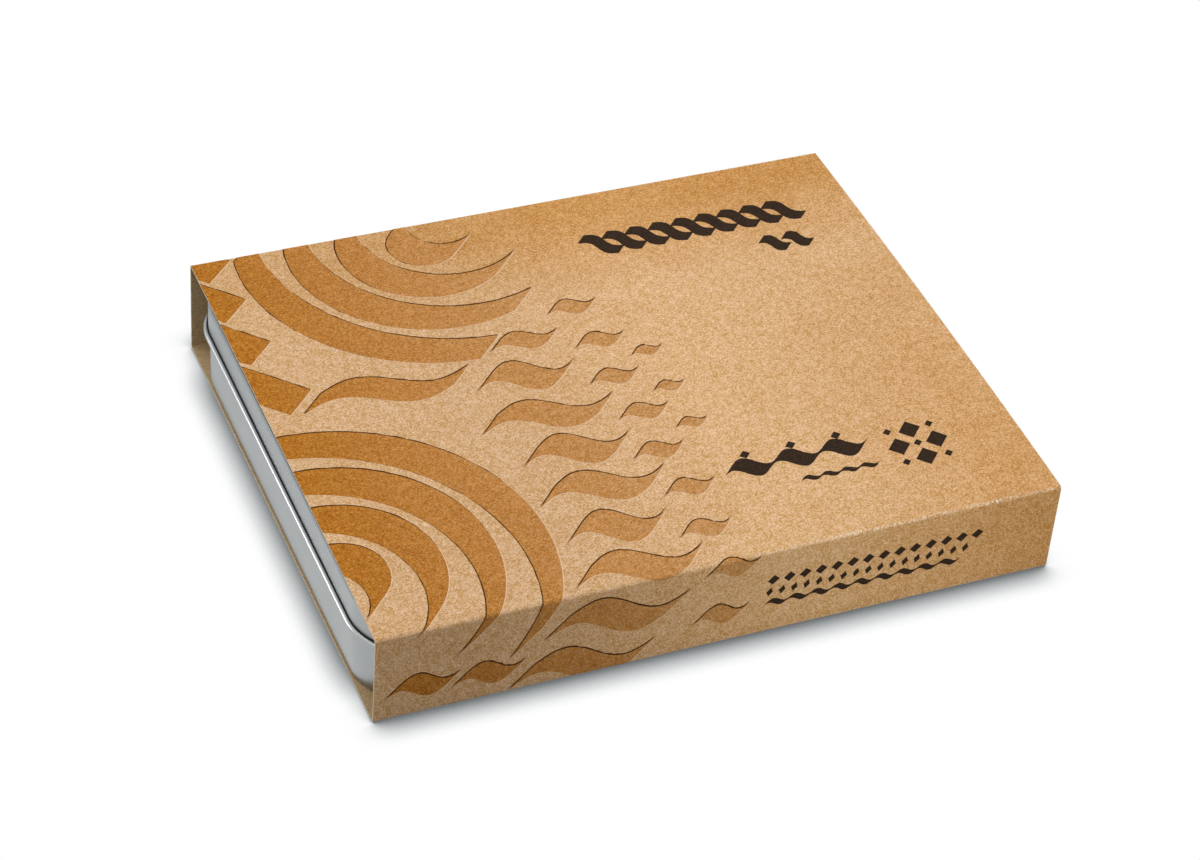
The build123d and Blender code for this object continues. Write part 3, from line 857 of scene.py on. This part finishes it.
def pin_material():
    """Drawn wire."""
    surface = Surface("hinge_wire", (0.50, 0.51, 0.52), 0.3, metallic=1.0)
    drawing = surface.noise(0.1 * mm, detail=2.0, stretch=(40.0, 1.0, 1.0))
    surface.relief(drawing, 0.004 * mm)
    surface.set("Roughness", surface.spread(drawing, 0.3, 0.7, 0.22, 0.38))
    return surface.material


# What the tin holds


def foam_material(settings):
    """Black die-cut foam with open cells."""
    surface = Surface("black_foam", settings.foam, 0.95, specular=0.2)
    cells = surface.spread(surface.noise(0.45 * mm, detail=2.0), 0.4, 0.62)
    light = [part * 2.4 for part in settings.foam]
    surface.set("Base Color", surface.blend(cells, settings.foam, light))
    surface.relief(cells, 0.12 * mm)
    return surface.material


def paper_material(settings):
    """Uncoated white paper."""
    surface = Surface("leaflet_paper", settings.paper, 0.85, specular=0.25)
    fibres = surface.spread(surface.noise(0.6 * mm, detail=4.0), 0.3, 0.7)
    dark = [part * 0.93 for part in settings.paper]
    surface.set("Base Color", surface.blend(fibres, dark, settings.paper))
    surface.relief(fibres, 0.01 * mm)
    return surface.material


def moulded_material(name, plastic, roughness):
    """Moulded plastic with a faint flow in its gloss."""
    surface = Surface(name, plastic, roughness)
    flow = surface.noise(4 * mm, detail=3.0)
    surface.set("Roughness", surface.spread(flow, 0.3, 0.7, roughness * 0.8, roughness * 1.2))
    surface.relief(surface.noise(0.3 * mm, detail=2.0), 0.003 * mm)
    return surface.material


def steel_material(name, steel):
    """Polished steel with hairline scratches."""
    surface = Surface(name, steel, 0.14, metallic=1.0)
    scratches = surface.noise(0.1 * mm, detail=2.0, stretch=(1.0, 30.0, 1.0), turn=12)
    surface.set("Roughness", surface.spread(scratches, 0.3, 0.7, 0.10, 0.20))
    surface.relief(scratches, 0.002 * mm)
    return surface.material


def make_foam(settings):
    """The backing pad and the insert, with soft edges."""
    material = foam_material(settings)
    for node, name in (("foam_pad", "foam_backing"), ("foam_insert", "foam_tray")):
        bm = merged_copy(node)
        bmesh.ops.dissolve_limit(
            bm, angle_limit=math.radians(0.5), verts=bm.verts[:], edges=bm.edges[:], delimit=set()
        )
        edges = [edge for edge in bm.edges if edge.calc_face_angle(0.0) > math.radians(50)]
        bmesh.ops.bevel(
            bm,
            geom=edges,
            offset=settings.foam_edge,
            offset_type="OFFSET",
            segments=3,
            profile=0.5,
            affect="EDGES",
            clamp_overlap=True,
            material=-1,
        )
        piece = link_piece(bm, name, "tin", [material], replaces=[node])


def make_leaflet(settings):
    """Three sheets folded into one another, with their fold at the front."""
    low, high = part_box("leaflet")
    sheets = 3
    paper = 0.1 * mm
    spacing = (high.z - low.z) / (2 * sheets)
    middle = (low.z + high.z) / 2
    bm = bmesh.new()
    for i in range(sheets):
        bend = (i + 0.5) * spacing
        fold = arc_points((low.y + (high.z - low.z) / 2, middle), bend, 270, 90, 10)
        path = [(high.y, middle - bend), *fold, (high.y, middle + bend)]
        rolled_strip(bm, low.x, high.x, path, paper)
    link_piece(bm, "folded_leaflet", "tin", [paper_material(settings)], replaces=["leaflet"])


def make_turned_pieces(settings):
    """The pen, its spare nib units and the ink, as smooth turned shapes."""
    finishes = {
        "pen_plastic": moulded_material("pen_plastic", settings.plastic, 0.16),
        "feed_plastic": moulded_material("feed_plastic", settings.feed, 0.5),
        "nib_steel": steel_material("nib_steel", settings.steel),
        "finial_metal": steel_material("finial_metal", settings.finial),
        "ink_plastic": moulded_material("ink_plastic", settings.ink, 0.22),
    }
    slots = {
        "barrel": "pen_plastic",
        "cap": "pen_plastic",
        "grip": "pen_plastic",
        "feed": "feed_plastic",
        "nib": "nib_steel",
        "finial": "finial_metal",
        "cartridge": "ink_plastic",
    }
    bodies = frame["record"]["behaviour"]["bodies"]
    for body, nodes in bodies.items():
        for node in nodes:
            slot = next((slots[word] for word in node.split("_")[1:] if word in slots), None)
            if slot:
                piece = link_piece(merged_copy(node), f"turned_{node}", body, [finishes[slot]])
                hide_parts(node)


# The stage


def make_stage(settings):
    """The pale floor, the studio light and the camera."""
    scene = bpy.context.scene
    scene.view_settings.view_transform = "Standard"
    make_floor(settings)
    make_world(settings)
    make_lamp("key", (-0.10, 0.06, 0.9), (0.55, 0.55), settings.key_power)
    make_lamp("rim", (-0.62, 0.44, 0.17), (0.3, 0.28), settings.rim_power)
    make_lamp("side", (-0.62, -0.29, 0.58), (0.25, 0.25), settings.side_power)
    fill = make_lamp("fill", (0.16, -0.32, 0.018), (0.10, 0.03), settings.fill_power, (0.035, -0.07, 0.013))
    fill.color = (0.94, 0.92, 0.74)
    fill.spread = math.radians(44)

    data = bpy.data.cameras.new("camera")
    data.sensor_width = 36.0
    data.lens = settings.lens
    data.clip_start = 0.01
    camera = bpy.data.objects.new("camera", data)
    right = Vector((0.92604228, -0.37161927, 0.06591521))
    down = Vector((-0.19361235, -0.61766494, -0.76223637))
    ahead = Vector((0.32397523, 0.69310111, -0.64393391))
    turn = Matrix((right, -down, -ahead)).transposed().to_4x4()
    camera.matrix_world = Matrix.Translation((-0.27949, -0.59208, 0.55857)) @ turn
    scene.collection.objects.link(camera)
    scene.camera = camera


def make_lamp(name, place, size, power, target=(0.0, 0.0, 0.0)):
    """A soft lamp that points at the target."""
    lamp = bpy.data.lights.new(name, "AREA")
    lamp.shape = "RECTANGLE"
    lamp.size, lamp.size_y = size
    lamp.energy = power
    holder = bpy.data.objects.new(name, lamp)
    holder.location = place
    holder.rotation_euler = (Vector(target) - holder.location).to_track_quat("-Z", "Y").to_euler()
    bpy.context.scene.collection.objects.link(holder)
    return lamp


def seen_directly(tree):
    """1 for camera, glossy and transmission rays, and 0 for the rays that light the object."""
    path = tree.nodes.new("ShaderNodeLightPath")
    seen = path.outputs["Is Camera Ray"]
    for name in ("Is Glossy Ray", "Is Transmission Ray"):
        either = tree.nodes.new("ShaderNodeMath")
        either.operation = "MAXIMUM"
        tree.links.new(seen, either.inputs[0])
        tree.links.new(path.outputs[name], either.inputs[1])
        seen = either.outputs["Value"]
    return seen


def make_floor(settings):
    """A white floor that keeps the object's contact shadow and throws up a little light."""
    bm = bmesh.new()
    bmesh.ops.create_grid(bm, x_segments=1, y_segments=1, size=3.0)
    bmesh.ops.translate(bm, vec=(0.0, 0.0, -0.02 * mm), verts=bm.verts[:])
    mesh = bpy.data.meshes.new("floor")
    bm.to_mesh(mesh)
    bm.free()
    floor = bpy.data.objects.new("floor", mesh)
    bpy.context.scene.collection.objects.link(floor)

    material = bpy.data.materials.new("floor")
    material.use_nodes = True
    tree = material.node_tree
    tree.nodes.clear()
    nearby = tree.nodes.new("ShaderNodeAmbientOcclusion")
    nearby.samples = 16
    nearby.inputs["Distance"].default_value = settings.shadow_reach
    shade = tree.nodes.new("ShaderNodeMapRange")
    shade.inputs["From Min"].default_value = 0.5
    shade.inputs["From Max"].default_value = 0.97
    shade.inputs["To Min"].default_value = 0.17
    tree.links.new(nearby.outputs["AO"], shade.inputs["Value"])
    tint = tree.nodes.new("ShaderNodeMix")
    tint.data_type = "RGBA"
    shadow_tint, white_tint = [socket for socket in tint.inputs if socket.type == "RGBA"]
    shadow_tint.default_value = (*settings.shadow, 1.0)
    white_tint.default_value = (1.0, 1.0, 1.0, 1.0)
    tree.links.new(shade.outputs["Result"], tint.inputs["Factor"])
    shaded = tree.nodes.new("ShaderNodeEmission")
    tree.links.new(next(socket for socket in tint.outputs if socket.type == "RGBA"), shaded.inputs["Color"])
    tree.links.new(shade.outputs["Result"], shaded.inputs["Strength"])
    plain = tree.nodes.new("ShaderNodeEmission")
    path = tree.nodes.new("ShaderNodeLightPath")
    white = tree.nodes.new("ShaderNodeMixShader")
    tree.links.new(path.outputs["Is Camera Ray"], white.inputs["Fac"])
    tree.links.new(plain.outputs["Emission"], white.inputs[1])
    tree.links.new(shaded.outputs["Emission"], white.inputs[2])
    matt = tree.nodes.new("ShaderNodeBsdfDiffuse")
    matt.inputs["Color"].default_value = (settings.bounce, settings.bounce, settings.bounce, 1.0)
    either = tree.nodes.new("ShaderNodeMixShader")
    tree.links.new(seen_directly(tree), either.inputs["Fac"])
    tree.links.new(matt.outputs["BSDF"], either.inputs[1])
    tree.links.new(white.outputs["Shader"], either.inputs[2])
    output = tree.nodes.new("ShaderNodeOutputMaterial")
    tree.links.new(either.outputs["Shader"], output.inputs["Surface"])
    mesh.materials.append(material)


def make_world(settings):
    """A white backdrop whose light on the object is softer than it looks."""
    world = bpy.data.worlds.new("studio")
    world.use_nodes = True
    tree = world.node_tree
    background = tree.nodes["Background"]
    strength = tree.nodes.new("ShaderNodeMapRange")
    strength.inputs["To Min"].default_value = settings.sky
    tree.links.new(seen_directly(tree), strength.inputs["Value"])
    background.inputs["Color"].default_value = (1.0, 1.0, 1.0, 1.0)
    tree.links.new(strength.outputs["Result"], background.inputs["Strength"])
    bpy.context.scene.world = world


# The add-on


class CALLIGRAPHY_OT_sleeve(bpy.types.Operator):
    """Fold the card sleeve"""

    bl_idname = "calligraphy_set.sleeve"
    bl_label = "Card Sleeve"

    def execute(self, context):
        make_sleeve(context.scene.calligraphy_sleeve)
        return {"FINISHED"}


class CALLIGRAPHY_OT_brown_print(bpy.types.Operator):
    """Print the brown pattern on the sleeve"""

    bl_idname = "calligraphy_set.brown_print"
    bl_label = "Brown Print"

    def execute(self, context):
        make_brown_print(context.scene.calligraphy_sleeve, context.scene.calligraphy_print)
        return {"FINISHED"}


class CALLIGRAPHY_OT_black_print(bpy.types.Operator):
    """Print the black ornaments on the sleeve"""

    bl_idname = "calligraphy_set.black_print"
    bl_label = "Black Print"

    def execute(self, context):
        make_black_print(context.scene.calligraphy_sleeve, context.scene.calligraphy_print)
        return {"FINISHED"}


class CALLIGRAPHY_OT_tin_base(bpy.types.Operator):
    """Draw the tin's tray and roll its hinge leaves"""

    bl_idname = "calligraphy_set.tin_base"
    bl_label = "Tin Base"

    def execute(self, context):
        make_tin_base(context.scene.calligraphy_tin)
        return {"FINISHED"}


class CALLIGRAPHY_OT_tin_lid(bpy.types.Operator):
    """Draw the tin's lid and finish the hinge pins"""

    bl_idname = "calligraphy_set.tin_lid"
    bl_label = "Tin Lid"

    def execute(self, context):
        make_tin_lid(context.scene.calligraphy_tin)
        material = pin_material()
        for node in ("hinge_pin_left", "hinge_pin_right"):
            piece = link_piece(merged_copy(node), f"wire_{node}", "tin", [material])
            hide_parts(node)
        return {"FINISHED"}


class CALLIGRAPHY_OT_foam(bpy.types.Operator):
    """Cut the foam and fold the leaflet"""

    bl_idname = "calligraphy_set.foam"
    bl_label = "Foam and Leaflet"

    def execute(self, context):
        make_foam(context.scene.calligraphy_packing)
        make_leaflet(context.scene.calligraphy_packing)
        return {"FINISHED"}


class CALLIGRAPHY_OT_pen(bpy.types.Operator):
    """Turn the pen, the spare nib units and the ink cartridges"""

    bl_idname = "calligraphy_set.pen"
    bl_label = "Pen and Ink"

    def execute(self, context):
        make_turned_pieces(context.scene.calligraphy_packing)
        return {"FINISHED"}


class CALLIGRAPHY_OT_stage(bpy.types.Operator):
    """Set the floor, the light and the camera"""

    bl_idname = "calligraphy_set.stage"
    bl_label = "Stage"

    def execute(self, context):
        make_stage(context.scene.calligraphy_stage)
        return {"FINISHED"}


class CALLIGRAPHY_PT_set(bpy.types.Panel):
    """The set's sizes, colours and pieces"""

    bl_label = "Calligraphy Set"
    bl_idname = "CALLIGRAPHY_PT_set"
    bl_space_type = "VIEW_3D"
    bl_region_type = "UI"
    bl_category = "Calligraphy Set"

    def draw(self, context):
        for name, settings in setting_groups.items():
            box = self.layout.box()
            for value in settings.__annotations__:
                box.prop(getattr(context.scene, name), value)
        for operator in operators:
            self.layout.operator(operator.bl_idname)


setting_groups = {
    "calligraphy_sleeve": SleeveSettings,
    "calligraphy_print": PrintSettings,
    "calligraphy_tin": TinSettings,
    "calligraphy_packing": PackingSettings,
    "calligraphy_stage": StageSettings,
}
operators = (
    CALLIGRAPHY_OT_stage,
    CALLIGRAPHY_OT_sleeve,
    CALLIGRAPHY_OT_brown_print,
    CALLIGRAPHY_OT_black_print,
    CALLIGRAPHY_OT_tin_base,
    CALLIGRAPHY_OT_tin_lid,
    CALLIGRAPHY_OT_foam,
    CALLIGRAPHY_OT_pen,
)


def register():
    """Add the settings, the operators and the panel."""
    for settings in setting_groups.values():
        bpy.utils.register_class(settings)
    for operator in operators:
        bpy.utils.register_class(operator)
    bpy.utils.register_class(CALLIGRAPHY_PT_set)
    for name, settings in setting_groups.items():
        setattr(bpy.types.Scene, name, PointerProperty(type=settings))


def unregister():
    """Take them off again."""
    for name in setting_groups:
        delattr(bpy.types.Scene, name)
    bpy.utils.unregister_class(CALLIGRAPHY_PT_set)
    for operator in reversed(operators):
        bpy.utils.unregister_class(operator)
    for settings in reversed(setting_groups.values()):
        bpy.utils.unregister_class(settings)


def main():
    """Build every piece."""
    register()
    bpy.ops.calligraphy_set.stage()
    bpy.ops.calligraphy_set.sleeve()
    bpy.ops.calligraphy_set.brown_print()
    bpy.ops.calligraphy_set.black_print()
    bpy.ops.calligraphy_set.tin_base()
    bpy.ops.calligraphy_set.tin_lid()
    bpy.ops.calligraphy_set.foam()
    bpy.ops.calligraphy_set.pen()


if __name__ == "__main__":
    main()
